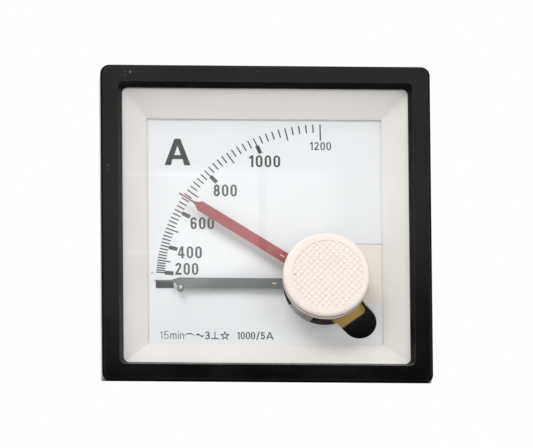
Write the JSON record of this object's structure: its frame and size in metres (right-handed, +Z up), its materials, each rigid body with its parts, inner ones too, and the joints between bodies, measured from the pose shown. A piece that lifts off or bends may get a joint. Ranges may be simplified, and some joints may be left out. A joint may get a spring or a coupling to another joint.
{
  "type": "analog panel meter",
  "caption": "Square flush panel ammeter with a clear window, a grey main pointer, a red drag pointer for the highest reading and a round textured reset knob.",
  "frame": {"origin": "middle of the panel cut-out, in the plane of the panel's front face, which is the bezel's back face", "axes": "+Y into the panel along the case, +Z up and +X to the right as the dial is read"},
  "size_m": [0.072, 0.0686, 0.072],
  "materials": {
    "bezel_black": "satin moulded",
    "case_black": "fine textured moulded",
    "window_clear": "clear polished",
    "frame_white": "satin moulded",
    "cover_cream": "satin moulded",
    "knob_cream": "satin moulded",
    "dial_enamel": "satin enamel",
    "scale_print": "matte ink",
    "pointer_grey": "matte",
    "pointer_red": "matte",
    "brass": "satin",
    "steel": "satin",
    "zinc_steel": "dull zinc plated",
    "dark_steel": "blackened",
    "aluminium": "satin",
    "bimetal": "bare strip",
    "copper": "bare",
    "phenolic": "moulded phenolic"
  },
  "bodies": {
    "housing": {"bezel": "bezel_black", "window": "window_clear", "inner_frame": "frame_white", "dial_plate": "dial_enamel", "scale_marks": "scale_print", "corner_cover": "cover_cream", "case": "case_black", "bridge": "brass", "front_bush": "brass", "zero_lever": "zinc_steel", "zero_post": "brass", "bridge_screws": "steel", "shield_spacers": "aluminium", "bridge_pillars": "brass", "heat_shield": "aluminium", "compensating_spiral": "bimetal", "measuring_spiral": "bimetal", "current_post": "brass", "movement_plate": "phenolic", "plate_screws": "steel", "rear_bearing": "brass", "rear_lock_nut": "brass", "current_leads": "copper", "terminal_studs": "brass", "terminal_nuts": "brass", "terminal_washers": "brass", "spring_washers": "steel"},
    "reset_knob": {"reset_knob": "knob_cream", "knob_spindle": "brass", "knob_spring_washer": "steel", "retaining_clip": "steel", "driver_arm": "dark_steel", "hub_retainer": "brass"},
    "max_pointer": {"max_pointer": "pointer_red", "max_hub": "brass", "max_catch": "steel", "drag_washer": "steel"},
    "main_pointer": {"main_pointer": "pointer_grey", "main_hub": "brass", "drive_pin": "steel", "balance_weights": "brass", "shaft": "steel", "spiral_collets": "brass"}
  },
  "joints": [
    {"name": "main_pointer_turn", "type": "hinge", "parent": "housing", "child": "main_pointer", "pos_m": [0.0129, 0, -0.01205], "axis": [0, 1, 0], "range_deg": [0, 92], "stiffness_Nm_per_rad": 0.0006},
    {"name": "max_pointer_turn", "type": "hinge", "parent": "housing", "child": "max_pointer", "pos_m": [0.0129, 0, -0.01205], "axis": [0, 1, 0], "range_deg": [-31.9, 60.4]},
    {"name": "reset_knob_turn", "type": "hinge", "parent": "housing", "child": "reset_knob", "pos_m": [0.0129, 0, -0.01205], "axis": [0, 1, 0], "range_deg": [-102.6, 0]}
  ]
}
